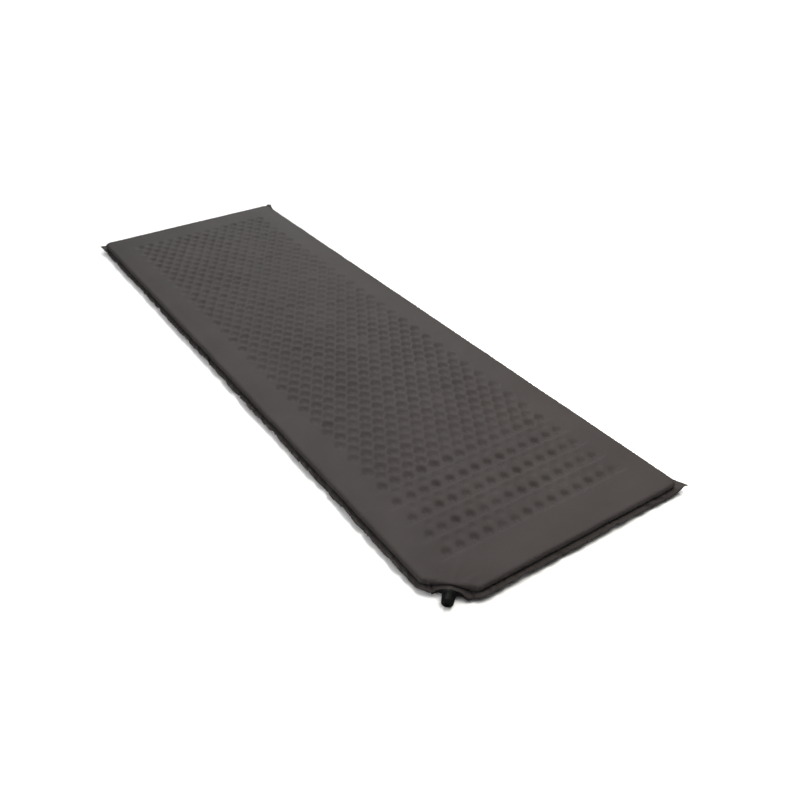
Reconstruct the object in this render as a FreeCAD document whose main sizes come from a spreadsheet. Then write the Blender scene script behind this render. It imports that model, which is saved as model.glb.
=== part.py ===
import FreeCAD, Part
import os
import re
import Sketcher

# A self-inflating sleeping pad: two welded cover sheets around a die-cut foam core, with a twist valve
# at one cut-off corner. Millimetres. X runs across the pad, Y along it and Z up. The origin is on the
# ground under the pad's middle, and the valve is at the corner where X and Y are lowest.
# The valve has a frame of its own: its origin is the middle of the cut edge at the height of the weld,
# its X lies along the cut edge, its Y points up and its Z points straight out of the corner.

SIZES = [
    # the pad
    ("pad_width", 630, "across the flange"),
    ("pad_length", 1980, "along the flange"),
    ("pad_height", 30, "inflated thickness"),
    ("weld_height", 14, "height of the seam between the covers"),
    ("flange_width", 10, "weld flange outside the cushion"),
    ("corner_cut", 85, "leg of the cut-off valve corner"),
    ("gauge", 1, "thickness of a cover"),
    ("corner_radius", 16, "cushion corner seen from above"),
    ("shoulder_radius", 10, "rounding between side and top"),
    ("ear_run", 45, "length over which an ear flares"),
    ("ear_out", 8, "how far an ear's tip stands out sideways"),
    ("ear_along", 2, "how far an ear's tip stands out endways"),
    # the die-cut cells of the foam core
    ("cell_pitch_across", 34, "spacing of cells in a row"),
    ("cell_pitch_along", 58, "spacing of the main rows"),
    ("cell_columns", 14, "cells in a main row"),
    ("cell_rows", 31, "main rows"),
    ("cell_width", 16, "cell across"),
    ("cell_length", 22, "cell along"),
    ("core_gap", 0.3, "foam to the side of the cover"),
    ("core_chamfer", 9, "foam edge under the shoulder"),
    ("wing_gap", 4, "foam to the valve's wing"),
    # the valve base, stem and plug
    ("wing_half_width", 28, "welded wing, from the middle to a tip"),
    ("wing_half_height", 7, "welded wing, half its thickness"),
    ("wing_depth", 14, "wing along the valve axis"),
    ("tent_margin", 2, "cover beyond the wing's tips"),
    ("neck_radius", 9, "round neck outside the covers"),
    ("neck_end", 2, "station of the neck's face"),
    ("passage_radius", 5.5, "air passage through the base"),
    ("fit_gap", 0.05, "radial gap of seated pieces"),
    ("screen_thickness", 1, "filter screen"),
    ("screen_hole", 0.7, "radius of a hole in the screen"),
    ("screen_ring", 3.2, "radius of the ring of screen holes"),
    ("screen_holes", 8, "holes in the ring"),
    ("gasket_end", 2.8, "station of the gasket's outer face"),
    ("shoulder_end", 4.4, "station of the stem shoulder's outer face"),
    ("stem_inner_end", 11, "how far the stem reaches in"),
    ("stem_bore", 4.4, "air passage through the stem"),
    ("stem_mouth", 5.2, "wider passage around the spider"),
    ("stem_mouth_start", 12, "station where the passage widens"),
    ("stem_end", 20, "station of the stem's outer end"),
    ("land_radius", 7.9, "smooth land that the skirt seal wipes"),
    ("land_end", 13, "station where the land ends"),
    ("spoke_start", 14, "station of the spider"),
    ("spoke_depth", 2.5, "spider along the axis"),
    ("spoke_width", 1.6, "one spoke"),
    ("spoke_count", 4, "spokes"),
    ("post_radius", 1.6, "post that carries the plug"),
    ("post_end", 22.9, "station of the post's tip"),
    ("plug_radius", 5.3, "plug that closes the mouth"),
    ("plug_start", 20.6, "station of the plug's inner face"),
    ("plug_end", 24.6, "station of the plug's outer face"),
    ("plug_seal_station", 22.6, "middle of the plug's seal"),
    ("plug_seal_radius", 4.75, "centre line of the plug's seal"),
    ("seal_section", 0.8, "radius of a seal's round section"),
    ("groove_gap", 0.1, "seal to each side of its groove"),
    # the thread between stem and cap
    ("thread_pitch", 3, "travel of the cap in one turn"),
    ("thread_core", 6.9, "stem under the thread"),
    ("thread_crest", 7.8, "stem over the thread"),
    ("thread_start", 14.6, "station of the thread's first section"),
    ("thread_rise", 4, "length of the stem's thread"),
    ("thread_base_half", 0.85, "half the thread's width at the core"),
    ("thread_tip_half", 0.35, "half the thread's width at the crest"),
    ("thread_gap", 0.2, "clearance all round the thread"),
    ("thread_bite", 0.2, "overlap of the thread into its core"),
    # the cap and what rides in it
    ("cap_start", 2.2, "station of the cap's rim"),
    ("cap_end", 27, "station of the cap's tip"),
    ("collar_radius", 13.4, "flared rim"),
    ("collar_end", 6.4, "station where the rim narrows"),
    ("barrel_start", 7.4, "station where the grip begins"),
    ("barrel_radius", 12.9, "grip at the rim"),
    ("barrel_end", 24.8, "station where the tip rounds off"),
    ("tip_radius", 11.6, "grip at the tip"),
    ("face_radius", 9.4, "flat end face"),
    ("face_step", 0.6, "the mouth's rim stands out this far"),
    ("lip_radius", 7, "outside of the mouth's rim"),
    ("skirt_radius", 9.6, "bore that holds the skirt seal"),
    ("skirt_end", 8, "station of the skirt bore's end"),
    ("relief_radius", 8.3, "bore between skirt and thread"),
    ("cap_thread_start", 13.4, "station where the cap's thread begins"),
    ("cap_thread_end", 19.8, "station where it ends"),
    ("mouth_start", 21, "station where the mouth begins"),
    ("mouth_radius", 5.6, "mouth that the plug closes"),
    ("rib_count", 20, "grip ribs"),
    ("rib_gap", 1.8, "width of a groove between ribs"),
    ("rib_floor", 11, "radius of a groove's floor"),
    ("skirt_seal_station", 7.15, "middle of the skirt seal"),
    ("skirt_seal_radius", 8.75, "centre line of the skirt seal"),
    ("washer_start", 5.5, "station of the slip washer"),
    ("washer_thickness", 0.8, "slip washer"),
]

doc = FreeCAD.newDocument("sleeping_pad")
sheet = doc.addObject("Spreadsheet::Sheet", "Sizes")
for row, (alias, value, meaning) in enumerate(SIZES, start=1):
    sheet.set(f"A{row}", meaning)
    sheet.set(f"B{row}", str(value))
    sheet.setAlias(f"B{row}", alias)
doc.recompute()


# ---- helpers: an expression is text over the sheet's aliases -----------------------------------------

ALIASES = {alias for alias, _, _ in SIZES}


def on_sheet(expression):
    """The expression with each alias written as the sheet's own cell."""

    def cell_of(word):
        return f"Sizes.{word[0]}" if word[0] in ALIASES else word[0]

    return re.sub(r"[a-z]\w*", cell_of, expression)


def size(expression):
    return float(sheet.evalExpression(on_sheet(expression)))


def bind(thing, path, expression):
    thing.setExpression(path, on_sheet(expression))


def plane(body, role):
    return next(item for item in body.Origin.OriginFeatures if item.Role == role)


def sketch_on(body, role, name, height="0"):
    """A sketch on one of the body's own planes, lifted by height along that plane's normal."""
    sketch = body.newObject("Sketcher::SketchObject", name)
    sketch.AttachmentSupport = [(plane(body, role), "")]
    sketch.MapMode = "FlatFace"
    bind(sketch, "AttachmentOffset.Base.z", height)
    return sketch


def place_point(sketch, geometry, end, x, y):
    """Dimension a point from the sketch's origin. A leading minus puts it on the negative side."""
    for kind, axis, expression in (("DistanceX", -2, x), ("DistanceY", -1, y)):
        if expression == "0":
            sketch.addConstraint(Sketcher.Constraint("PointOnObject", geometry, end, axis))
            continue
        negative = expression.startswith("-")
        length = expression[1:] if negative else expression
        ends = (geometry, end, -1, 1) if negative else (-1, 1, geometry, end)
        index = sketch.addConstraint(Sketcher.Constraint(kind, *ends, size(length)))
        bind(sketch, f"Constraints[{index}]", length)


def polygon(sketch, corners):
    """A closed outline. Each corner is a pair of expressions."""
    points = [FreeCAD.Vector(size(x), size(y), 0) for x, y in corners]
    first = sketch.GeometryCount
    for start, end in zip(points, points[1:] + points[:1]):
        sketch.addGeometry(Part.LineSegment(start, end), False)
    for i, (x, y) in enumerate(corners):
        after = first + (i + 1) % len(corners)
        sketch.addConstraint(Sketcher.Constraint("Coincident", first + i, 2, after, 1))
        place_point(sketch, first + i, 1, x, y)


def circle(sketch, x, y, radius):
    centre = FreeCAD.Vector(size(x), size(y), 0)
    index = sketch.addGeometry(Part.Circle(centre, FreeCAD.Vector(0, 0, 1), size(radius)), False)
    constraint = sketch.addConstraint(Sketcher.Constraint("Radius", index, size(radius)))
    bind(sketch, f"Constraints[{constraint}]", radius)
    place_point(sketch, index, 3, x, y)


def arch(sketch, half_width, rise):
    """A shallow arc over the sketch's X axis, or under it for a rise with a minus. Returns its index."""
    tall = size(rise)
    wide = size(half_width)
    left = FreeCAD.Vector(-wide, 0, 0)
    right = FreeCAD.Vector(wide, 0, 0)
    index = sketch.addGeometry(Part.Arc(left, FreeCAD.Vector(0, tall, 0), right), False)
    radius = f"(({half_width})^2 + ({rise})^2) / (2 * abs({rise}))"
    constraint = sketch.addConstraint(Sketcher.Constraint("Radius", index, size(radius)))
    bind(sketch, f"Constraints[{constraint}]", radius)
    counter_clockwise_start_is_right = tall > 0
    ends = (2, 1) if counter_clockwise_start_is_right else (1, 2)
    place_point(sketch, index, ends[0], f"-({half_width})", "0")
    place_point(sketch, index, ends[1], half_width, "0")
    return index


def pad(body, sketch, length, name, down=False):
    feature = body.newObject("PartDesign::Pad", name)
    feature.Profile = sketch
    bind(feature, "Length", length)
    feature.Reversed = down
    return feature


def pocket(body, sketch, length, name, up=False):
    feature = body.newObject("PartDesign::Pocket", name)
    feature.Profile = sketch
    bind(feature, "Length", length)
    feature.Reversed = up
    return feature


def fillet(body, radius, name, wanted):
    """Round the edges of the body's last feature for which wanted(edge) is true."""
    doc.recompute()
    tip = body.Tip
    edges = [f"Edge{i}" for i, edge in enumerate(tip.Shape.Edges, start=1) if wanted(edge)]
    feature = body.newObject("PartDesign::Fillet", name)
    feature.Base = (tip, edges)
    bind(feature, "Radius", radius)
    return feature


def turn(body, name, corners):
    """A solid of revolution about the body's Z axis, from corners given as radius and station."""
    sketch = sketch_on(body, "XZ_Plane", f"{name}_profile")
    polygon(sketch, corners)
    feature = body.newObject("PartDesign::Revolution", name)
    feature.Profile = sketch
    feature.ReferenceAxis = (sketch, ["V_Axis"])
    feature.Angle = 360
    return feature


def helix(body, kind, name, corners, rise):
    """A right-hand thread, swept from a section given as radius and station."""
    sketch = sketch_on(body, "XZ_Plane", f"{name}_section")
    polygon(sketch, corners)
    feature = body.newObject(kind, name)
    feature.Profile = sketch
    feature.ReferenceAxis = (sketch, ["V_Axis"])
    feature.Mode = "pitch-height-angle"
    bind(feature, "Pitch", "thread_pitch")
    bind(feature, "Height", rise)
    return feature


def repeat_round(body, features, count, name):
    """Repeat features around the body's Z axis."""
    pattern = body.newObject("PartDesign::PolarPattern", name)
    pattern.Originals = features
    pattern.Axis = (plane(body, "Z_Axis"), [""])
    pattern.Angle = 360
    bind(pattern, "Occurrences", count)
    body.Tip = pattern
    return pattern


def new_body(name):
    body = doc.addObject("PartDesign::Body", name)
    body.Label = name
    return body


def valve_body(name):
    """A body in the valve's frame."""
    body = new_body(name)
    along_cut = FreeCAD.Vector(1, -1, 0)
    up = FreeCAD.Vector(0, 0, 1)
    outward = FreeCAD.Vector(-1, -1, 0)
    body.Placement.Rotation = FreeCAD.Rotation(along_cut, up, outward, "ZYX")
    bind(body, "Placement.Base.x", "-(pad_width - corner_cut) / 2")
    bind(body, "Placement.Base.y", "-(pad_length - corner_cut) / 2")
    bind(body, "Placement.Base.z", "weld_height")
    return body


# ---- outlines ----------------------------------------------------------------------------------------


def cushion_outline(side_inset, cut_inset):
    """The pad's outline, inset from its four sides and from the cut corner."""
    side = f"pad_width / 2 - ({side_inset})"
    end = f"pad_length / 2 - ({side_inset})"
    cut_shift = f"corner_cut + ({cut_inset}) * sqrt(2) - ({side_inset})"
    return [
        (f"-({side})", f"-(pad_length / 2 - ({cut_shift}))"),
        (f"-(pad_width / 2 - ({cut_shift}))", f"-({end})"),
        (side, f"-({end})"),
        (side, end),
        (f"-({side})", end),
    ]


def flange_outline():
    """The weld flange's outer edge: straight sides, three pointed ears and the cut corner."""
    side = "pad_width / 2"
    end = "pad_length / 2"
    side_root = f"({side} - ear_run)"
    end_root = f"({end} - ear_run)"
    side_tip = f"({side} + ear_out)"
    end_tip = f"({end} + ear_along)"
    return [
        (f"-{side}", f"-({end} - corner_cut)"),
        (f"-({side} - corner_cut)", f"-{end}"),
        (side_root, f"-{end}"),
        (side_tip, f"-{end_tip}"),
        (side, f"-{end_root}"),
        (side, end_root),
        (side_tip, end_tip),
        (side_root, end),
        (f"-{side_root}", end),
        (f"-{side_tip}", end_tip),
        (f"-{side}", end_root),
    ]


def upright(edge):
    ends = [vertex.Point for vertex in edge.Vertexes]
    return len(ends) == 2 and (ends[0] - ends[1]).cross(FreeCAD.Vector(0, 0, 1)).Length < 1e-6


def lies_at(edge, height):
    box = edge.BoundBox
    return abs(box.ZMin - height) < 1e-6 and abs(box.ZMax - height) < 1e-6


# ---- covers ------------------------------------------------------------------------------------------


def cushion_form(name, top, inset):
    """Half of the cushion as a solid, from the weld to its flat face, inset from the flange's edge."""
    skin = f"({inset} - flange_width)"
    depth = f"pad_height - weld_height - {skin}" if top else f"weld_height - {skin}"
    face = f"weld_height + {depth}" if top else f"weld_height - ({depth})"
    body = new_body(name)
    outline = sketch_on(body, "XY_Plane", f"{name}_outline", "weld_height")
    polygon(outline, cushion_outline(inset, inset))
    pad(body, outline, depth, f"{name}_block", down=not top)
    fillet(body, f"corner_radius - {skin}", f"{name}_corners", upright)
    face_height = size(face)
    rounding = f"shoulder_radius - {skin}"
    fillet(body, rounding, f"{name}_shoulder", lambda edge: lies_at(edge, face_height))
    return body


def flange_form(name, top):
    """One sheet's half of the weld flange, before its middle is taken out."""
    body = new_body(name)
    outline = sketch_on(body, "XY_Plane", f"{name}_outline", "weld_height")
    polygon(outline, flange_outline())
    pad(body, outline, "gauge", f"{name}_plate", down=not top)
    return body


def lens_block(name, half_width, half_height, depth, halves=("", "-")):
    """A boat-shaped block in the valve's frame, ending at the cut edge, or only its upper or lower half."""
    body = valve_body(name)
    lens = sketch_on(body, "XY_Plane", f"{name}_lens")
    first = arch(lens, half_width, f"{halves[0]}({half_height})")
    if len(halves) == 2:
        arch(lens, half_width, f"{halves[1]}({half_height})")
    else:
        wide = size(half_width)
        chord = Part.LineSegment(FreeCAD.Vector(-wide, 0, 0), FreeCAD.Vector(wide, 0, 0))
        line = lens.addGeometry(chord, False)
        left_end = 2 if halves[0] == "" else 1
        lens.addConstraint(Sketcher.Constraint("Coincident", line, 1, first, left_end))
        lens.addConstraint(Sketcher.Constraint("Coincident", line, 2, first, 3 - left_end))
    pad(body, lens, depth, f"{name}_block", down=True)
    return body


def cover(name, top, wing_form):
    """One cover: a hollow half cushion with its flange, tented over its half of the valve's wing."""
    tent = lens_block(
        f"{name}_tent",
        "wing_half_width + tent_margin",
        "wing_half_height + gauge",
        "flange_width + gauge",
        halves=("",) if top else ("-",),
    )
    outside = cushion_form(f"{name}_outside", top, "flange_width")
    inside = cushion_form(f"{name}_inside", top, "(flange_width + gauge)")
    joined = doc.addObject("Part::MultiFuse", f"{name}_joined")
    joined.Shapes = [outside, flange_form(f"{name}_flange", top), tent]
    hollow = doc.addObject("Part::Cut", f"{name}_hollow")
    hollow.Base = joined
    hollow.Tool = inside
    piece = doc.addObject("Part::Cut", name)
    piece.Base = hollow
    piece.Tool = wing_form
    piece.Label = name
    return piece


# ---- foam core ---------------------------------------------------------------------------------------


def foam_slab():
    """The slab that the core is cut from, clear of the covers' rounded corners and of the wing."""
    inset = "(flange_width + gauge + core_gap)"
    body = new_body("foam_slab")
    outline = sketch_on(body, "XY_Plane", "slab_outline", "gauge")
    polygon(outline, cushion_outline(inset, "(wing_depth + wing_gap)"))
    pad(body, outline, "pad_height - 2 * gauge", "slab_block")
    fillet(body, "corner_radius", "slab_corners", upright)
    doc.recompute()
    rounded = body.Tip
    faces = (size("gauge"), size("pad_height - gauge"))
    rim = [
        f"Edge{i}"
        for i, edge in enumerate(rounded.Shape.Edges, start=1)
        if lies_at(edge, faces[0]) or lies_at(edge, faces[1])
    ]
    eased = body.newObject("PartDesign::Chamfer", "slab_rim")
    eased.Base = (rounded, rim)
    bind(eased, "Size", "core_chamfer")
    return body


def foam_core():
    """The foam slab with its die-cut lozenge cells, in staggered rows."""
    slab = foam_slab()
    doc.recompute()
    across = size("cell_pitch_across")
    along = size("cell_pitch_along")
    half_width = size("cell_width") / 2
    half_length = size("cell_length") / 2
    through = FreeCAD.Vector(0, 0, size("pad_height"))

    def cell(x, y):
        lozenge = [(x - half_width, y), (x, y - half_length), (x + half_width, y), (x, y + half_length)]
        corners = [FreeCAD.Vector(*corner, 0) for corner in lozenge]
        return Part.Face(Part.makePolygon(corners + corners[:1])).extrude(through)

    cells = []
    for fewer in (0, 1):
        columns = int(size("cell_columns")) - fewer
        rows = int(size("cell_rows")) - fewer
        for i in range(columns):
            for j in range(rows):
                cells.append(cell((i - (columns - 1) / 2) * across, (j - (rows - 1) / 2) * along))

    piece = doc.addObject("Part::Feature", "foam_core")
    piece.Shape = slab.Shape.cut(Part.makeCompound(cells))
    piece.Placement = FreeCAD.Placement()
    piece.Label = "foam_core"
    return piece


# ---- valve, the pieces that stay with the pad --------------------------------------------------------


def valve_base():
    """The welded wing with its round neck and the air passage through both."""
    body = lens_block("valve_base", "wing_half_width", "wing_half_height", "wing_depth")
    turn(
        body,
        "neck",
        [
            ("0", "-gauge"),
            ("wing_half_height - gauge", "-gauge"),
            ("wing_half_height - gauge", "0"),
            ("neck_radius", "0"),
            ("neck_radius", "neck_end"),
            ("0", "neck_end"),
        ],
    )
    mouth = sketch_on(body, "XY_Plane", "passage_circle", "neck_end")
    circle(mouth, "0", "0", "passage_radius")
    pocket(body, mouth, "neck_end + wing_depth", "passage")
    return body


def filter_screen():
    """The perforated disc in the passage's inner end."""
    body = valve_body("filter_screen")
    inner = "-wing_depth"
    outer = "-(wing_depth - screen_thickness)"
    rim = "passage_radius - fit_gap"
    turn(body, "disc", [("screen_hole", inner), (rim, inner), (rim, outer), ("screen_hole", outer)])
    hole = sketch_on(body, "XY_Plane", "screen_hole_circle")
    circle(hole, "screen_ring", "0", "screen_hole")
    drilled = pocket(body, hole, "wing_depth + gauge", "drilled_hole")
    repeat_round(body, [drilled], "screen_holes", "hole_ring")
    return body


def stem_gasket():
    """The flat gasket between the neck and the stem's shoulder."""
    body = valve_body("stem_gasket")
    turn(
        body,
        "gasket_ring",
        [
            ("passage_radius", "neck_end"),
            ("neck_radius", "neck_end"),
            ("neck_radius", "gasket_end"),
            ("passage_radius", "gasket_end"),
        ],
    )
    return body


def valve_stem():
    """The threaded tube: tail in the base, shoulder, smooth land, thread, and a spider with its post."""
    body = valve_body("valve_stem")
    tail = "passage_radius - fit_gap"
    turn(
        body,
        "tube",
        [
            ("stem_bore", "-stem_inner_end"),
            (tail, "-stem_inner_end"),
            (tail, "gasket_end"),
            ("neck_radius", "gasket_end"),
            ("neck_radius", "shoulder_end"),
            ("land_radius", "shoulder_end"),
            ("land_radius", "land_end"),
            ("thread_core", "land_end"),
            ("thread_core", "stem_end"),
            ("stem_mouth", "stem_end"),
            ("stem_mouth", "stem_mouth_start"),
            ("stem_bore", "stem_mouth_start"),
        ],
    )
    bar = sketch_on(body, "XY_Plane", "spoke_bar", "spoke_start")
    reach = "stem_mouth + thread_bite"
    polygon(
        bar,
        [
            ("-spoke_width / 2", "-spoke_width / 2"),
            (reach, "-spoke_width / 2"),
            (reach, "spoke_width / 2"),
            ("-spoke_width / 2", "spoke_width / 2"),
        ],
    )
    spoke = pad(body, bar, "spoke_depth", "spoke")
    repeat_round(body, [spoke], "spoke_count", "spider")
    turn(
        body,
        "post",
        [
            ("0", "spoke_start"),
            ("post_radius", "spoke_start"),
            ("post_radius", "post_end"),
            ("0", "post_end"),
        ],
    )
    helix(
        body,
        "PartDesign::AdditiveHelix",
        "stem_thread",
        [
            ("thread_core - thread_bite", "thread_start - thread_base_half"),
            ("thread_crest", "thread_start - thread_tip_half"),
            ("thread_crest", "thread_start + thread_tip_half"),
            ("thread_core - thread_bite", "thread_start + thread_base_half"),
        ],
        "thread_rise",
    )
    return body


def valve_plug():
    """The grooved plug on the stem's post. It stays still while the cap's mouth leaves it."""
    body = valve_body("valve_plug")
    hole = "post_radius + fit_gap"
    floor = "plug_seal_radius - seal_section - fit_gap"
    low = "plug_seal_station - seal_section - groove_gap"
    high = "plug_seal_station + seal_section + groove_gap"
    turn(
        body,
        "plug_disc",
        [
            (hole, "plug_start"),
            ("plug_radius", "plug_start"),
            ("plug_radius", low),
            (floor, low),
            (floor, high),
            ("plug_radius", high),
            ("plug_radius", "plug_end"),
            ("0", "plug_end"),
            ("0", "post_end + fit_gap"),
            (hole, "post_end + fit_gap"),
        ],
    )
    return body


def seal_ring(name, radius, station):
    """An O-ring about the valve's axis."""
    body = valve_body(name)
    section = sketch_on(body, "XZ_Plane", f"{name}_section")
    circle(section, radius, station, "seal_section")
    ring = body.newObject("PartDesign::Revolution", f"{name}_ring")
    ring.Profile = section
    ring.ReferenceAxis = (section, ["V_Axis"])
    ring.Angle = 360
    return body


# ---- valve, the pieces that move ---------------------------------------------------------------------


def slip_washer():
    """The washer that keeps the skirt seal in the cap."""
    body = valve_body("slip_washer")
    inner = "land_radius + fit_gap"
    outer = "skirt_radius - fit_gap"
    end = "washer_start + washer_thickness"
    turn(body, "washer", [(inner, "washer_start"), (outer, "washer_start"), (outer, end), (inner, end)])
    return body


def valve_cap():
    """The ribbed twist cap: flared rim, tapered grip, raised mouth rim, and its inner thread."""
    body = valve_body("valve_cap")
    thread_minor = "thread_core + thread_gap"
    thread_major = "thread_crest + thread_gap"
    turn(
        body,
        "cap_block",
        [
            ("skirt_radius", "cap_start"),
            ("collar_radius", "cap_start"),
            ("collar_radius", "collar_end"),
            ("barrel_radius", "barrel_start"),
            ("tip_radius", "barrel_end"),
            ("face_radius", "cap_end - face_step"),
            ("lip_radius", "cap_end - face_step"),
            ("lip_radius", "cap_end"),
            ("mouth_radius", "cap_end"),
            ("mouth_radius", "mouth_start"),
            (thread_major, "mouth_start"),
            (thread_major, "cap_thread_end"),
            (thread_minor, "cap_thread_end"),
            (thread_minor, "cap_thread_start"),
            ("relief_radius", "cap_thread_start"),
            ("relief_radius", "skirt_end"),
            ("skirt_radius", "skirt_end"),
        ],
    )
    helix(
        body,
        "PartDesign::SubtractiveHelix",
        "cap_thread",
        [
            (f"{thread_minor} - thread_bite", "thread_start - thread_pitch - thread_base_half - thread_gap"),
            (thread_major, "thread_start - thread_pitch - thread_tip_half - thread_gap"),
            (thread_major, "thread_start - thread_pitch + thread_tip_half + thread_gap"),
            (f"{thread_minor} - thread_bite", "thread_start - thread_pitch + thread_base_half + thread_gap"),
        ],
        "3 * thread_pitch",
    )
    groove = sketch_on(body, "XY_Plane", "grip_groove", "cap_end")
    polygon(
        groove,
        [
            ("rib_floor", "-rib_gap / 2"),
            ("collar_radius + gauge", "-rib_gap / 2"),
            ("collar_radius + gauge", "rib_gap / 2"),
            ("rib_floor", "rib_gap / 2"),
        ],
    )
    cut = pocket(body, groove, "cap_end - barrel_start", "groove_cut")
    repeat_round(body, [cut], "rib_count", "grip_grooves")
    return body


# ---- build, check and write --------------------------------------------------------------------------

wing_form = lens_block("wing_form", "wing_half_width", "wing_half_height", "wing_depth")
pieces = [
    cover("top_cover", True, wing_form),
    cover("bottom_cover", False, wing_form),
    foam_core(),
    valve_base(),
    filter_screen(),
    stem_gasket(),
    valve_stem(),
    valve_plug(),
    seal_ring("plug_seal", "plug_seal_radius", "plug_seal_station"),
    seal_ring("skirt_seal", "skirt_seal_radius", "skirt_seal_station"),
    slip_washer(),
    valve_cap(),
]
doc.recompute()

for thing in doc.Objects:
    if "Invalid" in thing.State or "Error" in thing.State:
        raise RuntimeError(f"{thing.Name} did not build: {thing.State}")
os.makedirs("parts", exist_ok=True)
for piece in pieces:
    shape = piece.Shape
    if shape.isNull() or not shape.isValid() or len(shape.Solids) != 1:
        raise RuntimeError(f"{piece.Label} is not one valid solid")
    shape.exportStep(f"parts/{piece.Label}.step")
    print(f"{piece.Label}: {shape.Volume:.0f} mm3, {len(shape.Faces)} faces")
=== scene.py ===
import math

import bpy
import numpy as np
from mathutils import Matrix, Vector


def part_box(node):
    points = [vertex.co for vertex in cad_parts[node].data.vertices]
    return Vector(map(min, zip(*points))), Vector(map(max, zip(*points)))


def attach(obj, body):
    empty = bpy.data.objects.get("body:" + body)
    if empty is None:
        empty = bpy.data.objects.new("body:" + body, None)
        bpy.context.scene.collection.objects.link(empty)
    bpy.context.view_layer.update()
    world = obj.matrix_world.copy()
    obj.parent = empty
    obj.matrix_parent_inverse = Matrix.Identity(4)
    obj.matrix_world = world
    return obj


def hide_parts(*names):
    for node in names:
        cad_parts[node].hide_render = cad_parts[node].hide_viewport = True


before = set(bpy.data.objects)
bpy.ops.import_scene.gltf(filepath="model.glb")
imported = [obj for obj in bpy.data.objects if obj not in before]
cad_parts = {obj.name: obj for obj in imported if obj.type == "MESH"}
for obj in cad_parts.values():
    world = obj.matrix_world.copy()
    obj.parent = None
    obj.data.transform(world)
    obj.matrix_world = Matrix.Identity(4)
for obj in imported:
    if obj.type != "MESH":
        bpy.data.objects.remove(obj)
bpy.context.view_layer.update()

# A self-inflating sleeping pad. The two covers, each with its half of the weld flange, and the foam core
# are made here; the valve's pieces are the CAD's own. Metres, in the CAD frame: X across, Y along, Z up,
# with the valve at the corner where X and Y are lowest.

MM = 0.001

# ---- places from the frame ---------------------------------------------------------------------------

EAR_OUT = 8 * MM
EAR_ALONG = 2 * MM
FLANGE_WIDTH = 10 * MM
CORNER_CUT = 85 * MM

_, cover_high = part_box("top_cover")
HALF_WIDTH = cover_high.x - EAR_OUT
HALF_LENGTH = cover_high.y - EAR_ALONG
PAD_HEIGHT = cover_high.z
WELD_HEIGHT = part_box("top_cover")[0].z
CUT_SUM = HALF_WIDTH + HALF_LENGTH - CORNER_CUT

VALVE_ORIGIN = np.array([-(HALF_WIDTH - CORNER_CUT / 2), -(HALF_LENGTH - CORNER_CUT / 2)])
VALVE_OUTWARD = np.array([-1.0, -1.0]) / math.sqrt(2)
ALONG_CUT = np.array([1.0, -1.0]) / math.sqrt(2)
WING_HALF_WIDTH = 28 * MM
WING_HALF_HEIGHT = 7 * MM

# the foam's die-cut cells, which print through the covers
PITCH_ACROSS = 34 * MM
PITCH_ALONG = 58 * MM
CELL_COLUMNS = 14
CELL_ROWS = 31

# how a cover's mesh is laid out: a grid over the flat, then rings out over the shoulder to the flange
SHEET = 0.5 * MM
GRID_STEP = 4.2 * MM
BASE_INSET = 22 * MM
BASE_RADIUS = 8 * MM
VALVE_ZONE = 400 * MM
SHOULDER_RINGS = 9
WALL_RINGS = 5
FLANGE_PARTS = (0.0, 0.15, 0.32, 0.48, 0.64, 0.82, 1.0)

# the side's section: how square its shoulder is, where it is widest, and how far it tucks in above the weld
SHOULDER_POWER = 3.2
WAIST = 0.42
WALL_OUT = BASE_INSET - FLANGE_WIDTH
UNDERCUT = 8 * MM

# the side and the flange as cloth: how much too long, for how many frames, and how far a point may move
CLOTH_GROWTH = 0.09
CLOTH_FRAMES = 18
CLOTH_CAP = 5 * MM
FLANGE_HOLD = (1.0, 0.75, 0.45, 0.25, 0.1, 0.0, 0.0)

# where the cells stop short of the pad's edges, and where the valve end's deeper rows begin
CELLS_ACROSS = (248 * MM, 228 * MM)
CELLS_ALONG = (905 * MM, 880 * MM)
VALVE_END = (-570 * MM, -680 * MM)

# the ledges between the valve end's rows: the first crest, the drop, and how strong each one is
LEDGE_ACROSS = (252 * MM, 234 * MM)
LEDGE_FIRST = -870
LEDGE_BEFORE_ROW = 19
LEDGE_DROP = 3.0 * MM
LEDGE_STRENGTHS = (1.0, 1.0, 0.9, 0.75, 0.45, 0.2)

# the tent that the covers make over the valve's wing
TENT_HEIGHT = 9.2 * MM
TENT_PEAK = 1 * MM
TENT_HALF_WIDTH = 36 * MM
TENT_SOFTNESS = 0.4 * MM

# thread pitches of the woven fabric
WARP_PITCH = 0.42 * MM
WEFT_PITCH = 0.36 * MM

FLOOR_DROP = 0.2 * MM


def smoothstep(low, high, value):
    t = np.clip((value - low) / (high - low), 0, 1)
    return t * t * (3 - 2 * t)


def value_noise(x, y, cell, seed):
    """Smooth noise from -1 to 1, with features about as large as cell."""
    table = np.random.default_rng(seed).uniform(-1, 1, (64, 64))
    u = np.asarray(x) / cell + 640.5
    v = np.asarray(y) / cell + 640.5
    i = np.floor(u).astype(int)
    j = np.floor(v).astype(int)
    across = smoothstep(0, 1, u - i)
    along = smoothstep(0, 1, v - j)

    def at(di, dj):
        return table[(i + di) % 64, (j + dj) % 64]

    near = at(0, 0) * (1 - across) + at(1, 0) * across
    far = at(0, 1) * (1 - across) + at(1, 1) * across
    return near * (1 - along) + far * along


# ---- the outline of the flat -------------------------------------------------------------------------


def outline_corners(inset):
    """Corners of the pad's outline inset all round, counter-clockwise from the left end of the cut."""
    side = HALF_WIDTH - inset
    end = HALF_LENGTH - inset
    cut = CUT_SUM - inset * math.sqrt(2)
    return np.array([[-side, side - cut], [end - cut, -end], [side, -end], [side, end], [-side, end]])


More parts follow.
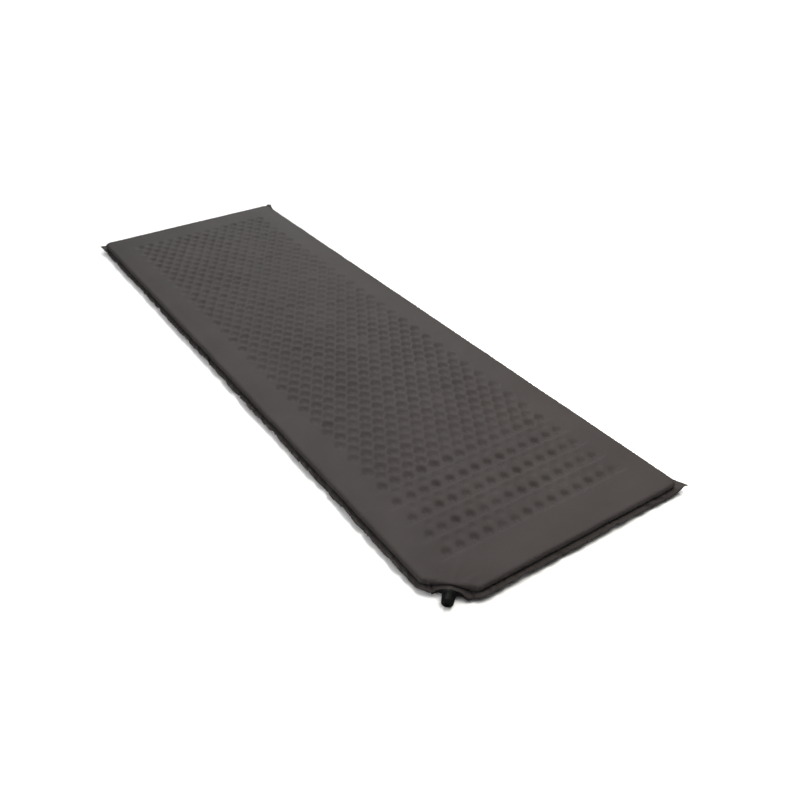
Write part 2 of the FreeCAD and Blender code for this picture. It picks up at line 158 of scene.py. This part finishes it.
def nearest_on(points, corners):
    """The nearest point on a closed polygon to each point."""
    best = np.full(len(points), np.inf)
    found = np.zeros_like(points)
    for start, end in zip(corners, np.roll(corners, -1, axis=0)):
        along = end - start
        share = np.clip((points - start) @ along / (along @ along), 0, 1)
        on = start + share[:, None] * along
        away = np.linalg.norm(points - on, axis=1)
        nearer = away < best
        best[nearer] = away[nearer]
        found[nearer] = on[nearer]
    return found, best


CORE = outline_corners(BASE_INSET + BASE_RADIUS)


def inside_core(points):
    """True where a point is inside the polygon that the flat's rounded outline is drawn around."""
    inside = np.ones(len(points), bool)
    for start, end in zip(CORE, np.roll(CORE, -1, axis=0)):
        edge = end - start
        away = points - start
        inside &= edge[0] * away[:, 1] - edge[1] * away[:, 0] >= 0
    return inside


def row_end(y, side):
    """Where each row of the grid meets the flat's rounded outline, on the left (-1) or right (1)."""
    outer = np.full_like(y, side * HALF_WIDTH)
    inner = np.zeros_like(y)
    for _ in range(48):
        middle = (outer + inner) / 2
        points = np.stack([middle, y], axis=1)
        _, away = nearest_on(points, CORE)
        within = inside_core(points) | (away <= BASE_RADIUS + 1e-7)
        inner = np.where(within, middle, inner)
        outer = np.where(within, outer, middle)
    return inner


def grid_rows(step):
    """Heights along the pad of the grid's rows, closer together where the outline turns."""
    end = HALF_LENGTH - BASE_INSET
    turns = np.linspace(0, math.pi / 2, 9)
    rounding = BASE_RADIUS * (1 - np.cos(turns))
    valve_zone = HALF_LENGTH - VALVE_ZONE
    fine = np.arange(-end + BASE_RADIUS, -valve_zone, 0.6 * step)[1:]
    plain = np.linspace(-valve_zone, end - BASE_RADIUS, int((end + valve_zone) / step))
    return np.concatenate([-end + rounding, fine, plain, (end - rounding[::-1])[1:]])


# ---- heights -----------------------------------------------------------------------------------------


def nearness_to_valve_end(y):
    """1 over the valve end's rows and 0 over the rest."""
    return smoothstep(*VALVE_END, y)


def cell_depth(x, y):
    """How deep the cover sinks into the foam's cells, from 0 to about 1.4."""
    valve_end = nearness_to_valve_end(y)
    half_across = (16.0 - 5.5 * valve_end) * MM
    half_along = (20 - 5 * valve_end) * MM
    depth = np.zeros_like(x)
    for fewer in (0, 1):
        columns = CELL_COLUMNS - fewer
        rows = CELL_ROWS - fewer
        i = np.clip(np.round(x / PITCH_ACROSS + (columns - 1) / 2), 0, columns - 1)
        j = np.clip(np.round(y / PITCH_ALONG + (rows - 1) / 2), 0, rows - 1)
        middle_x = (i - (columns - 1) / 2) * PITCH_ACROSS
        middle_y = (j - (rows - 1) / 2) * PITCH_ALONG
        uneven = value_noise(i, j, 1.0, 11 + fewer)
        drift = value_noise(i, j, 1.0, 21 + fewer)
        swing = value_noise(i, j, 1.0, 31 + fewer)
        across = np.abs(x - middle_x - (1.8 + 1.6 * valve_end) * MM * drift) / half_across
        along = np.abs(y - middle_y - (2.5 + 2.5 * valve_end) * MM * swing) / half_along
        away = (across**1.3 + along**1.3) ** (1 / 1.3)
        dish = np.clip(1 - away**2, 0, 1) ** 1.15
        fade = 1 - 0.6 * fewer * valve_end
        depth = np.maximum(depth, dish * (0.85 + (0.45 + 0.15 * valve_end) * uneven) * fade)
    return depth


def cover_height(x, y, outward):
    """Height of a cover's flat: outward is 1 for the top, -1 for the bottom."""
    cored = smoothstep(*CELLS_ACROSS, np.abs(x)) * smoothstep(*CELLS_ALONG, np.abs(y))
    wave = np.cos(math.pi * (x / PITCH_ACROSS * 2 - 1)) * np.cos(math.pi * y / PITCH_ALONG * 2)
    valve_end = nearness_to_valve_end(y)
    deepest = (3.2 + 1.5 * smoothstep(400 * MM, -300 * MM, y) + 1.3 * valve_end) * MM
    sink = deepest * cell_depth(x, y) + 0.35 * MM * cored * wave * (1 - valve_end)

    # at the valve end the cover steps down on the valve's side of each main row of cells, like shingles
    scallop = 0.75 + 0.25 * np.cos(2 * math.pi * (x / PITCH_ACROSS - 0.5))
    across = smoothstep(*LEDGE_ACROSS, np.abs(x))
    for number, strength in enumerate(LEDGE_STRENGTHS):
        crest = (LEDGE_FIRST + 58 * number - LEDGE_BEFORE_ROW) * MM
        crest = crest + 2.0 * MM * value_noise(x, x * 0 + number, 45 * MM, 41)
        past = (y - crest) / (58 * MM)
        ledge = smoothstep(0, 0.11, past) * (1 - smoothstep(0.1, 1.0, past))
        sink += LEDGE_DROP * strength * across * scallop * ledge

    slow = value_noise(x, y, 170 * MM, 51) + 0.5 * value_noise(x, y, 70 * MM, 52)
    fine = value_noise(x, y, 28 * MM, 53)
    uneven = (0.30 * slow + 0.14 * fine) * MM
    corner = np.hypot(x - VALVE_ORIGIN[0], y - VALVE_ORIGIN[1])
    tension = smoothstep(120 * MM, 35 * MM, corner)
    spread = np.arctan2(y - VALVE_ORIGIN[1], x - VALVE_ORIGIN[0])
    pleats = tension * (0.3 * np.cos(spread * 9 + 1.0) + 0.2 * np.cos(spread * 17 + 2.0)) * MM
    if outward > 0:
        return PAD_HEIGHT - 0.2 * MM - sink + uneven + pleats
    return np.maximum(0.0, 0.7 * sink)


# ---- the covers --------------------------------------------------------------------------------------


def wing_height(t):
    """How far a cover is lifted off the weld by the valve's welded wing, at t along the cut edge."""
    lens = WING_HALF_HEIGHT * (1 - (t / WING_HALF_WIDTH) ** 2) + 0.5 * MM
    roof = TENT_HEIGHT * (1 - np.abs(t - TENT_PEAK) / TENT_HALF_WIDTH)
    higher = np.maximum(lens, roof)
    return 0.5 * (higher + np.sqrt(higher**2 + TENT_SOFTNESS**2))


EARS = (  # corner signs, how far the tip stands out across and along the pad, and its height
    ((1, -1), (9 * MM, -1 * MM), 11 * MM),
    ((1, 1), (11 * MM, 1 * MM), 13 * MM),
    ((-1, 1), (3 * MM, -2 * MM), 5 * MM),
)
EAR_RUN = 48 * MM


class Rim:
    """The grid's boundary, in order, with what the rings outside it need at each point."""

    def __init__(self, points):
        self.points = points
        nearest, _ = nearest_on(points, CORE)
        away = points - nearest
        self.normal = away / np.linalg.norm(away, axis=1)[:, None]
        steps = np.linalg.norm(np.diff(points, axis=0), axis=1)
        self.along = np.concatenate([[0], np.cumsum(steps)])
        self.length = self.along[-1] + np.linalg.norm(points[0] - points[-1])
        self.nearest = nearest
        facing = self.normal @ VALVE_OUTWARD
        self.at_cut = smoothstep(0.80, 0.97, facing)
        edge = points + self.normal * BASE_INSET
        self.t = (edge - VALVE_ORIGIN) @ ALONG_CUT
        self.lift = wing_height(self.t) * self.at_cut

    def noise(self, size, seed):
        """Noise along the rim that joins up with itself."""
        turn = 2 * math.pi * self.along / self.length
        radius = self.length / (2 * math.pi)
        return value_noise(radius * np.cos(turn), radius * np.sin(turn), size, seed)

    def flange_edge(self):
        """The flange's outer edge: the corners stay square and flare into ears, and the edge wavers."""
        reach = BASE_INSET + BASE_RADIUS
        square = np.maximum(np.abs(self.normal[:, 0]), np.abs(self.normal[:, 1]))
        right_angle = 1 - smoothstep(-0.35, 0.0, self.normal @ VALVE_OUTWARD - 0.72)
        stretch = np.where(right_angle > 0.5, 1 / square, 1.0)
        edge = self.nearest + self.normal * (reach * stretch)[:, None]
        waver = 1.0 * MM * self.noise(30 * MM, 61) + 0.6 * MM * self.noise(12 * MM, 62)
        feet = np.exp(-(((np.abs(self.t) - 31 * MM) / (7 * MM)) ** 2))
        tuck = np.exp(-(((self.t - 47 * MM) / (7 * MM)) ** 2))
        waver += self.at_cut * (2.6 * feet - 2.2 * tuck) * MM
        edge += self.normal * waver[:, None]
        height = np.zeros(len(edge))
        for (sx, sy), (out_x, out_y), tip in EARS:
            corner = np.array([sx * HALF_WIDTH, sy * HALF_LENGTH])
            away = np.abs(edge - corner).sum(axis=1)
            pull = np.clip(1 - away / EAR_RUN, 0, 1) ** 2
            edge += pull[:, None] * np.array([sx * out_x, sy * out_y])
            beside = np.abs(edge - corner) @ np.array([2.0, 0.75])
            height += np.clip(1 - beside / EAR_RUN, 0, 1) ** 1.1 * tip
        return edge, height


def hold_weights(rim):
    """How firmly the cloth holds each ring where it is: the weld and the wing firmly, the edge loosely."""
    by_ring = np.concatenate(
        [
            np.linspace(1.0, 0.6, SHOULDER_RINGS),
            np.linspace(0.6, 1.0, WALL_RINGS),
            FLANGE_HOLD,
        ]
    )
    wing = smoothstep(0.5 * MM, 3.0 * MM, rim.lift)
    corner = np.zeros(len(rim.points))
    for (sx, sy), _, _ in EARS:
        away = np.hypot(rim.points[:, 0] - sx * HALF_WIDTH, rim.points[:, 1] - sy * HALF_LENGTH)
        corner = np.maximum(corner, smoothstep(60 * MM, 35 * MM, away))
    firm = np.maximum(wing, 0.9 * corner)
    return by_ring[:, None] * (1 - firm) + firm


def crumpled_side(vertices, first, loop, held):
    """Let the side and the flange buckle as cloth a little too long for its place.

    The rings start at vertex first, and loop is the flat's edge inside them. Returns how each point moved.
    """
    start = np.concatenate([vertices[loop], vertices[first:]])
    around = len(loop)
    at = np.arange(around)
    after = np.roll(at, -1)
    faces = []
    for ring in range(len(held)):
        inner = ring * around
        outer = inner + around
        faces.append(np.stack([inner + at, outer + at, outer + after, inner + after], axis=1))
    mesh = bpy.data.meshes.new("side_cloth")
    mesh.from_pydata(start.tolist(), [], np.concatenate(faces).tolist())
    piece = bpy.data.objects.new("side_cloth", mesh)
    bpy.context.scene.collection.objects.link(piece)
    pins = piece.vertex_groups.new(name="pins")
    weights = np.concatenate([np.ones(around), held.ravel()])
    for index, weight in enumerate(weights.tolist()):
        pins.add([index], weight, "REPLACE")
    cloth = piece.modifiers.new("cloth", "CLOTH")
    fabric = cloth.settings
    fabric.quality = 6
    fabric.mass = 0.2
    fabric.tension_stiffness = 20
    fabric.compression_stiffness = 20
    fabric.shear_stiffness = 8
    fabric.bending_stiffness = 0.05
    fabric.vertex_group_mass = "pins"
    fabric.pin_stiffness = 1.0
    fabric.shrink_min = -CLOTH_GROWTH
    fabric.effector_weights.gravity = 0
    cloth.collision_settings.use_collision = False
    cloth.point_cache.frame_start = 1
    cloth.point_cache.frame_end = CLOTH_FRAMES
    scene = bpy.context.scene
    for frame_number in range(1, CLOTH_FRAMES + 1):
        scene.frame_set(frame_number)
    settled = piece.evaluated_get(bpy.context.evaluated_depsgraph_get()).data
    points = np.empty(len(start) * 3, np.float32)
    settled.vertices.foreach_get("co", points)
    moved = points.reshape(-1, 3).astype(float)[around:] - start[around:]
    scene.frame_set(1)
    bpy.data.objects.remove(piece)
    length = np.linalg.norm(moved, axis=1)
    limit = np.minimum(1, CLOTH_CAP / np.maximum(length, 1e-9))
    return moved * limit[:, None]


def cover_mesh(name, outward, crumple=None):
    """One cover as a sheet: the dimpled flat, the rounded side and the weld flange.

    The first cover made is crumpled by simulation, and the other takes the same movement. Returns both.
    """
    rows = grid_rows(GRID_STEP)
    left = row_end(rows, -1)
    right = row_end(rows, 1)
    columns = int(2 * HALF_WIDTH / GRID_STEP)
    share = np.linspace(0, 1, columns + 1)
    x = left[:, None] + (right - left)[:, None] * share
    y = np.repeat(rows[:, None], columns + 1, axis=1)
    index = np.arange(x.size).reshape(x.shape)
    loop = np.concatenate([index[0], index[1:, -1], index[-1, -2::-1], index[-2:0:-1, 0]])
    flat = np.stack([x.ravel(), y.ravel()], axis=1)

    rim = Rim(flat[loop])
    z = cover_height(flat[:, 0], flat[:, 1], outward)
    _, inward = nearest_on(flat, outline_corners(BASE_INSET))
    z -= outward * 0.9 * MM * smoothstep(34 * MM, 0, inward)
    z_rim = z[loop]

    # rings over the shoulder, down the wall and out along the flange
    crease = WELD_HEIGHT + outward * (SHEET + rim.lift)
    bulge = 0.8 * MM * rim.noise(70 * MM, 71) + 0.5 * MM * rim.noise(24 * MM, 72)
    waist = crease + WAIST * (z_rim - crease)
    rings = []
    for turn in np.linspace(0, math.pi / 2, SHOULDER_RINGS + 1)[1:]:
        out = WALL_OUT * math.sin(turn) ** (2 / SHOULDER_POWER)
        height = waist + (z_rim - waist) * math.cos(turn) ** (2 / SHOULDER_POWER)
        rings.append((rim.points + rim.normal * (out + bulge * math.sin(turn))[:, None], height))
    for turn in np.linspace(0, math.pi / 2, WALL_RINGS + 1)[1:]:
        out = WALL_OUT - UNDERCUT * (1 - math.cos(turn))
        height = waist + (crease + outward * 0.6 * MM - waist) * math.sin(turn)
        rings.append((rim.points + rim.normal * (out + bulge * math.cos(turn))[:, None], height))

    edge, ear_height = rim.flange_edge()
    foot = rim.points + rim.normal * (WALL_OUT - UNDERCUT + 0.4 * MM)
    on_wing = smoothstep(1.0 * MM, 3.0 * MM, rim.lift)
    waves = 2.0 * MM * rim.noise(52 * MM, 81) + 1.5 * MM * rim.noise(17 * MM, 82)
    beside_wing = smoothstep(95 * MM, 55 * MM, np.abs(rim.t)) * (rim.points @ VALVE_OUTWARD > 0.75)
    waves += beside_wing * (2.2 * rim.noise(15 * MM, 83) + 1.2 * rim.noise(8 * MM, 84)) * MM
    droop = (-2.4 * MM + waves) * (1 - on_wing)
    droop -= 7 * MM * rim.at_cut * np.exp(-(((rim.t - 41 * MM) / (9 * MM)) ** 2))
    droop -= 4 * MM * rim.at_cut * np.exp(-(((rim.t + 39 * MM) / (8 * MM)) ** 2))
    for part in FLANGE_PARTS:
        place = foot + (edge - foot) * part
        bend = part**1.6
        rings.append((place, crease + (droop + ear_height * 0.9) * bend))

    on_flange = [0.0] * (SHOULDER_RINGS + WALL_RINGS) + [1.0] * len(FLANGE_PARTS)
    flange_share = np.repeat(on_flange, len(loop))
    points = [np.column_stack([flat, z])]
    points += [np.column_stack([place, height]) for place, height in rings]
    vertices = np.concatenate(points)

    quads = np.stack([index[:-1, :-1], index[:-1, 1:], index[1:, 1:], index[1:, :-1]], axis=-1)
    faces = [quads.reshape(-1, 4)]
    previous = loop
    around = len(loop)
    for number in range(len(rings)):
        ring = flat.shape[0] + number * around + np.arange(around)
        after = np.roll(np.arange(around), -1)
        faces.append(np.stack([previous, ring, ring[after], previous[after]], axis=-1))
        previous = ring
    faces = np.concatenate(faces)
    if outward < 0:
        faces = faces[:, ::-1]

    # the side's movement turns over with the cover; the two halves of the flange stay together
    first = len(flat)
    if crumple is None:
        crumple = crumpled_side(vertices, first, loop, hold_weights(rim))
    vertices[first:, :2] += crumple[:, :2]
    vertices[first:, 2] += outward * crumple[:, 2] * (1 - flange_share) + crumple[:, 2] * flange_share

    vertices[:, 2] = np.maximum(vertices[:, 2], 0)  # nothing sinks into the floor

    mesh = bpy.data.meshes.new(name)
    mesh.from_pydata(vertices.tolist(), [], faces.tolist())
    mesh.shade_smooth()
    piece = bpy.data.objects.new(name, mesh)
    bpy.context.scene.collection.objects.link(piece)
    sheet = piece.modifiers.new("sheet", "SOLIDIFY")
    sheet.thickness = SHEET
    sheet.offset = -1
    return piece, crumple


# ---- materials ---------------------------------------------------------------------------------------


class Nodes:
    """A material's node tree, with short ways to add to it."""

    def __init__(self, name, roughness, **settings):
        self.material = bpy.data.materials.new(name)
        self.material.use_nodes = True
        self.tree = self.material.node_tree
        self.shader = self.tree.nodes["Principled BSDF"]
        self.shader.inputs["Roughness"].default_value = roughness
        for socket, value in settings.items():
            self.shader.inputs[socket.replace("_", " ")].default_value = value
        self.place = self.add("ShaderNodeTexCoord").outputs["Object"]

    def add(self, kind, **settings):
        node = self.tree.nodes.new(kind)
        for key, value in settings.items():
            setattr(node, key, value)
        return node

    def link(self, output, socket):
        self.tree.links.new(output, socket)

    def noise(self, scale, detail=2.0, roughness=0.5):
        node = self.add("ShaderNodeTexNoise")
        node.inputs["Scale"].default_value = scale
        node.inputs["Detail"].default_value = detail
        node.inputs["Roughness"].default_value = roughness
        self.link(self.place, node.inputs["Vector"])
        return node.outputs["Fac"]

    def threads(self, direction, pitch):
        """A ripple with one crest for each thread."""
        node = self.add("ShaderNodeTexWave", wave_type="BANDS", bands_direction=direction)
        node.inputs["Scale"].default_value = 2 * math.pi / (20 * pitch)
        node.inputs["Distortion"].default_value = 0.6
        node.inputs["Detail"].default_value = 1.0
        node.inputs["Detail Scale"].default_value = 1.5
        self.link(self.place, node.inputs["Vector"])
        return node.outputs["Fac"]

    def math(self, operation, first, second):
        node = self.add("ShaderNodeMath", operation=operation)
        for socket, value in zip(node.inputs, (first, second)):
            if isinstance(value, (int, float)):
                socket.default_value = value
            else:
                self.link(value, socket)
        return node.outputs["Value"]

    def ramp(self, value, *stops):
        """Two colours, each at its place between 0 and 1."""
        node = self.add("ShaderNodeValToRGB")
        for element, (place, colour) in zip(node.color_ramp.elements, stops):
            element.position = place
            element.color = (*colour, 1)
        self.link(value, node.inputs["Fac"])
        return node.outputs["Color"]

    def mix(self, share, first, second):
        node = self.add("ShaderNodeMix", data_type="RGBA")
        for socket, value in ((node.inputs[0], share), (node.inputs[6], first), (node.inputs[7], second)):
            if isinstance(value, (int, float)):
                socket.default_value = value
            elif isinstance(value, tuple):
                socket.default_value = (*value, 1)
            else:
                self.link(value, socket)
        return node.outputs[2]

    def range(self, value, low, high):
        node = self.add("ShaderNodeMapRange")
        node.inputs["To Min"].default_value = low
        node.inputs["To Max"].default_value = high
        self.link(value, node.inputs["Value"])
        return node.outputs["Result"]

    def bump(self, height, distance, strength, under=None):
        node = self.add("ShaderNodeBump")
        node.inputs["Distance"].default_value = distance
        node.inputs["Strength"].default_value = strength
        self.link(height, node.inputs["Height"])
        if under is not None:
            self.link(under, node.inputs["Normal"])
        return node.outputs["Normal"]

    def set(self, socket, value):
        self.link(value, self.shader.inputs[socket])


def woven_fabric(name, dark, light):
    """Fine plain-woven polyester with a coated back: threads both ways, soft mottling, dark gaps."""
    m = Nodes(name, 0.5, Specular_IOR_Level=0.04)
    warp = m.threads("X", WARP_PITCH)
    weft = m.threads("Y", WEFT_PITCH)
    weave = m.math("MULTIPLY", warp, weft)
    cloudy = m.noise(9.0, 3.0, 0.55)
    heather = m.noise(420.0, 2.0, 0.7)
    tone = m.math("ADD", m.math("MULTIPLY", cloudy, 0.6), m.math("MULTIPLY", heather, 0.4))
    colour = m.ramp(tone, (0.30, dark), (0.70, light))
    colour = m.mix(m.range(weave, 0.0, 0.35), colour, tuple(0.55 * c for c in dark))
    m.set("Base Color", colour)
    m.set("Roughness", m.range(heather, 0.54, 0.70))
    cloth = m.bump(weave, 0.08 * MM, 0.55)
    m.set("Normal", m.bump(m.noise(130.0, 3.0, 0.6), 0.35 * MM, 0.35, under=cloth))
    return m.material


def moulded_plastic(name, colour, roughness, grain):
    """Injection-moulded plastic with a fine spark-eroded grain and slight handling polish; the polish is
    painted sheen, in lighter patches at random where handling has worn it.
    """
    m = Nodes(name, roughness, Specular_IOR_Level=0.06, IOR=1.35)
    # lighter patches at random where worn: painted sheen of handling polish
    wear_and_sheen = m.noise(160.0, 4.0, 0.6)
    polished_sheen = tuple(1.6 * c + 0.002 for c in colour)
    m.set("Base Color", m.ramp(wear_and_sheen, (0.35, colour), (0.75, polished_sheen)))
    m.set("Roughness", m.range(m.noise(700.0, 2.0), roughness - 0.1, roughness + 0.14))
    m.set("Normal", m.bump(m.noise(5200.0, 2.0, 0.6), grain, 0.5))
    return m.material


def seal_rubber():
    """Matt black rubber with a dusting of talc."""
    m = Nodes("seal_rubber", 0.7, Specular_IOR_Level=0.35)
    black = (0.012, 0.012, 0.013)
    dusted = (0.035, 0.034, 0.033)
    m.set("Base Color", m.ramp(m.noise(900.0, 3.0), (0.4, black), (0.8, dusted)))
    m.set("Roughness", m.range(m.noise(400.0), 0.6, 0.85))
    m.set("Normal", m.bump(m.noise(3000.0), 0.02 * MM, 0.4))
    return m.material


def open_cell_foam():
    """Pale yellow-grey open-cell foam: pores of one size, with painted shade that darkens them where they
    are deep.
    """
    m = Nodes("open_cell_foam", 0.95, Specular_IOR_Level=0.2)
    pores = m.add("ShaderNodeTexVoronoi", feature="F1")
    pores.inputs["Scale"].default_value = 900.0
    m.link(m.place, pores.inputs["Vector"])
    skin = (0.68, 0.65, 0.55)
    # the darker colour is painted shade in the depth of the pores
    deep = (0.42, 0.39, 0.30)
    m.set("Base Color", m.ramp(pores.outputs["Distance"], (0.1, skin), (0.7, deep)))
    m.set("Roughness", m.range(m.noise(60.0), 0.88, 1.0))
    m.set("Normal", m.bump(pores.outputs["Distance"], 0.4 * MM, 0.6))
    return m.material


# ---- pieces ------------------------------------------------------------------------------------------


def foam_piece():
    """The cored slab again, its top and underside following the covers it is bonded to."""
    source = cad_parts["foam_core"].data
    mesh = source.copy()
    mesh.name = "foam_core_slab"
    count = len(mesh.vertices)
    points = np.empty(count * 3, np.float32)
    mesh.vertices.foreach_get("co", points)
    points = points.reshape(-1, 3)
    x, y, z = (points[:, k].astype(float) for k in range(3))
    plan = np.column_stack([x, y])
    side, inward = nearest_on(plan, outline_corners(FLANGE_WIDTH))
    moved = np.where(inward < 22 * MM, 11 * MM + inward / 2, inward)
    plan = side + (plan - side) * (moved / inward)[:, None]
    x, y = plan.T
    points[:, :2] = plan
    valve_end = nearness_to_valve_end(y)
    top = cover_height(x, y, 1) - SHEET - (1.8 + 3.4 * valve_end) * MM
    bottom = cover_height(x, y, -1) + SHEET + 1.4 * MM
    out = np.clip(1 - (moved - 2.0 * MM) / WALL_OUT, 0, 1)
    round_over = (1 - out**2.5) ** (1 / 2.5)
    top = WELD_HEIGHT + 4 * MM + (top - WELD_HEIGHT - 4 * MM) * round_over
    bottom = WELD_HEIGHT - 4 * MM + (bottom - WELD_HEIGHT + 4 * MM) * round_over
    low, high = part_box("foam_core")
    share = (z - low.z) / (high.z - low.z)
    points[:, 2] = bottom + (top - bottom) * share
    mesh.vertices.foreach_set("co", points.ravel())
    mesh.materials.clear()
    mesh.materials.append(open_cell_foam())
    piece = bpy.data.objects.new("foam_core_slab", mesh)
    bpy.context.scene.collection.objects.link(piece)
    return piece


def dress(node, material):
    """Give a CAD node its material."""
    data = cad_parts[node].data
    data.materials.clear()
    data.materials.append(material)


cover_fabric = woven_fabric("cover_fabric", (0.0240, 0.0207, 0.0203), (0.0320, 0.0281, 0.0275))
base_fabric = woven_fabric("base_fabric", (0.0205, 0.0178, 0.0174), (0.0272, 0.0240, 0.0234))

top, side_crumple = cover_mesh("top_cover_fabric", 1)
top.data.materials.append(cover_fabric)
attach(top, "pad")
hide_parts("top_cover")

bottom, _ = cover_mesh("bottom_cover_fabric", -1, side_crumple)
bottom.data.materials.append(base_fabric)
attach(bottom, "pad")
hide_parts("bottom_cover")

foam = foam_piece()
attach(foam, "pad")
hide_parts("foam_core")

black_plastic = moulded_plastic("valve_plastic", (0.003, 0.003, 0.003), 0.55, 0.012 * MM)
cap_plastic = moulded_plastic("cap_plastic", (0.0025, 0.0025, 0.0025), 0.5, 0.008 * MM)
pale_plastic = moulded_plastic("washer_plastic", (0.60, 0.59, 0.55), 0.45, 0.006 * MM)
rubber = seal_rubber()
for node in ("valve_base", "filter_screen", "valve_stem", "valve_plug"):
    dress(node, black_plastic)
for node in ("stem_gasket", "plug_seal", "skirt_seal"):
    dress(node, rubber)
dress("slip_washer", pale_plastic)
dress("valve_cap", cap_plastic)


# ---- floor, light and camera -------------------------------------------------------------------------


def floor():
    """A plain pale floor, mottled too faintly to see."""
    size = 30.0
    mesh = bpy.data.meshes.new("studio_floor")
    corners = [(-size, -size), (size, -size), (size, size), (-size, size)]
    mesh.from_pydata([(x, y, -FLOOR_DROP) for x, y in corners], [], [(0, 1, 2, 3)])
    m = Nodes("studio_floor", 0.9, Specular_IOR_Level=0.1)
    m.set("Base Color", m.ramp(m.noise(3.0), (0.0, (0.73, 0.73, 0.73)), (1.0, (0.75, 0.75, 0.75))))
    mesh.materials.append(m.material)
    piece = bpy.data.objects.new("studio_floor", mesh)
    bpy.context.scene.collection.objects.link(piece)


def area_light(name, place, target, size, power, colour):
    data = bpy.data.lights.new(name, "AREA")
    data.shape = "RECTANGLE"
    data.size, data.size_y = size
    data.energy = power
    data.color = colour
    light = bpy.data.objects.new(name, data)
    light.location = place
    aim = Vector(target) - Vector(place)
    light.rotation_euler = aim.to_track_quat("-Z", "Y").to_euler()
    bpy.context.scene.collection.objects.link(light)


def sun_light(name, direction, spread, strength):
    data = bpy.data.lights.new(name, "SUN")
    data.angle = math.radians(spread)
    data.energy = strength
    light = bpy.data.objects.new(name, data)
    light.rotation_euler = Vector(direction).to_track_quat("Z", "Y").to_euler()
    bpy.context.scene.collection.objects.link(light)


def surroundings(strength):
    """A dim white surround as a light, and plain white where the camera sees it directly."""
    world = bpy.data.worlds.new("studio")
    world.use_nodes = True
    tree = world.node_tree
    lighting = tree.nodes["Background"]
    lighting.inputs["Strength"].default_value = strength
    backdrop = tree.nodes.new("ShaderNodeBackground")
    seen = tree.nodes.new("ShaderNodeLightPath")
    mix = tree.nodes.new("ShaderNodeMixShader")
    for background in (lighting, backdrop):
        background.inputs["Color"].default_value = (1, 1, 1, 1)
    tree.links.new(seen.outputs["Is Camera Ray"], mix.inputs["Fac"])
    tree.links.new(lighting.outputs["Background"], mix.inputs[1])
    tree.links.new(backdrop.outputs["Background"], mix.inputs[2])
    tree.links.new(mix.outputs["Shader"], tree.nodes["World Output"].inputs["Surface"])
    bpy.context.scene.world = world


def camera():
    """The photograph's view: 33 degrees left of the pad's length, 34 degrees above the floor."""
    azimuth = math.radians(-33.0742)
    elevation = math.radians(34.0218)
    roll = math.radians(-0.9871)
    back = Vector(
        (
            math.sin(azimuth) * math.cos(elevation),
            -math.cos(azimuth) * math.cos(elevation),
            math.sin(elevation),
        )
    )
    right = (-back).cross(Vector((0, 0, 1))).normalized()
    up = right.cross(-back)
    rolled_right = right * math.cos(roll) + up * math.sin(roll)
    rolled_up = up * math.cos(roll) - right * math.sin(roll)
    data = bpy.data.cameras.new("camera")
    data.sensor_width = 36.0
    data.lens = 37.93
    piece = bpy.data.objects.new("camera", data)
    turn = Matrix((rolled_right, rolled_up, back)).transposed().to_4x4()
    piece.matrix_world = Matrix.Translation(Vector((-0.9351, -1.8099, 1.1757))) @ turn
    bpy.context.scene.collection.objects.link(piece)
    bpy.context.scene.camera = piece


floor()
surroundings(0.14)
sun_light("overhead", (-0.15, -0.05, 1.0), 70, 1.3)
sun_light("key", (0.40, 0.76, 0.60), 12, 3.4)
sun_light("left", (-0.88, 0.34, 0.34), 22, 2.1)
area_light("near_softbox", (0.46, -0.90, 1.5), (0.32, -0.82, 0), (1.2, 0.8), 36, (1.0, 0.97, 0.90))
camera()
bpy.context.scene.view_settings.view_transform = "Standard"
